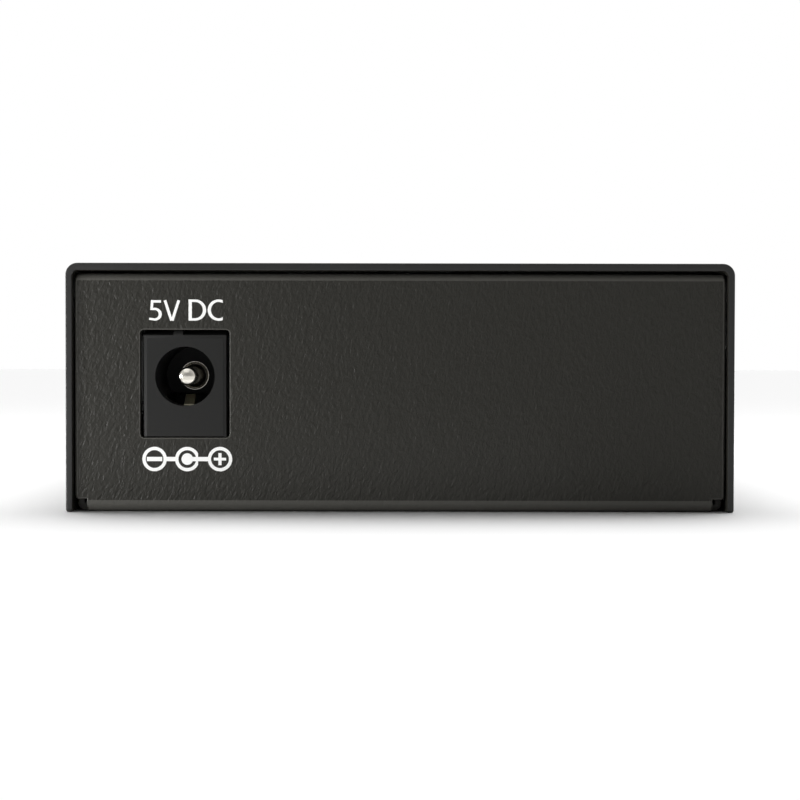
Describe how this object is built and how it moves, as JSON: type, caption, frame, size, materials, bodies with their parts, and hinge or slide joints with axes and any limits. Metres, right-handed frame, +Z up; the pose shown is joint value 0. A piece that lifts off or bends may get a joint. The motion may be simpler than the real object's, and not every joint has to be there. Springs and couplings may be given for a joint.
{
  "type": "fibre media converter",
  "caption": "Small folded-steel media converter box: barrel power jack at the rear, RJ45 socket, duplex fibre port and status lamps at the front.",
  "frame": {"origin": "on the resting surface, under the middle of the case", "axes": "+X to the right of the rear face, +Y from the rear face (power jack) towards the front face (data ports), +Z up"},
  "size_m": [0.072, 0.094, 0.0268],
  "materials": {
    "powder_coated_steel": "black textured powder coat",
    "black_screw_steel": "black passivated steel",
    "zinc_steel": "zinc plated",
    "tin_plated_steel": "tin plated sheet",
    "nickel_pin": "bright nickel",
    "brass_spring": "spring brass",
    "gold_wire": "gold plated",
    "green_board": "solder mask over glass laminate",
    "black_plastic": "moulded PBT",
    "chip_epoxy": "moulded epoxy",
    "port_blue": "moulded thermoplastic",
    "latch_cream": "moulded thermoplastic",
    "zirconia": "polished ceramic",
    "lamp_lens": "clear tinted epoxy",
    "can_metal": "drawn can",
    "ferrite": "sintered ferrite"
  },
  "bodies": {
    "root": {"top_cover": "powder_coated_steel", "base_tray": "powder_coated_steel", "cover_screws": "black_screw_steel", "board_standoffs": "zinc_steel", "board_screws": "zinc_steel", "circuit_board": "green_board", "power_jack_housing": "black_plastic", "power_jack_pin": "nickel_pin", "power_jack_spring": "brass_spring", "power_jack_switch_contact": "tin_plated_steel", "rj45_shield": "tin_plated_steel", "rj45_housing": "black_plastic", "rj45_contacts": "gold_wire", "fibre_receptacle": "port_blue", "ferrule_sleeves": "zirconia", "fibre_latches": "latch_cream", "transceiver_case": "black_plastic", "transceiver_pins": "tin_plated_steel", "lamp_holder": "black_plastic", "status_lamps": "lamp_lens", "lamp_leads": "tin_plated_steel", "converter_chip": "chip_epoxy", "converter_chip_leads": "tin_plated_steel", "lan_transformer": "chip_epoxy", "lan_transformer_leads": "tin_plated_steel", "clock_crystal": "can_metal", "voltage_regulator": "chip_epoxy", "power_inductor": "ferrite", "filter_capacitors": "can_metal", "chip_components": "latch_cream", "input_fuse": "chip_epoxy", "input_diode": "chip_epoxy", "memory_chip": "chip_epoxy"}
  },
  "joints": []
}
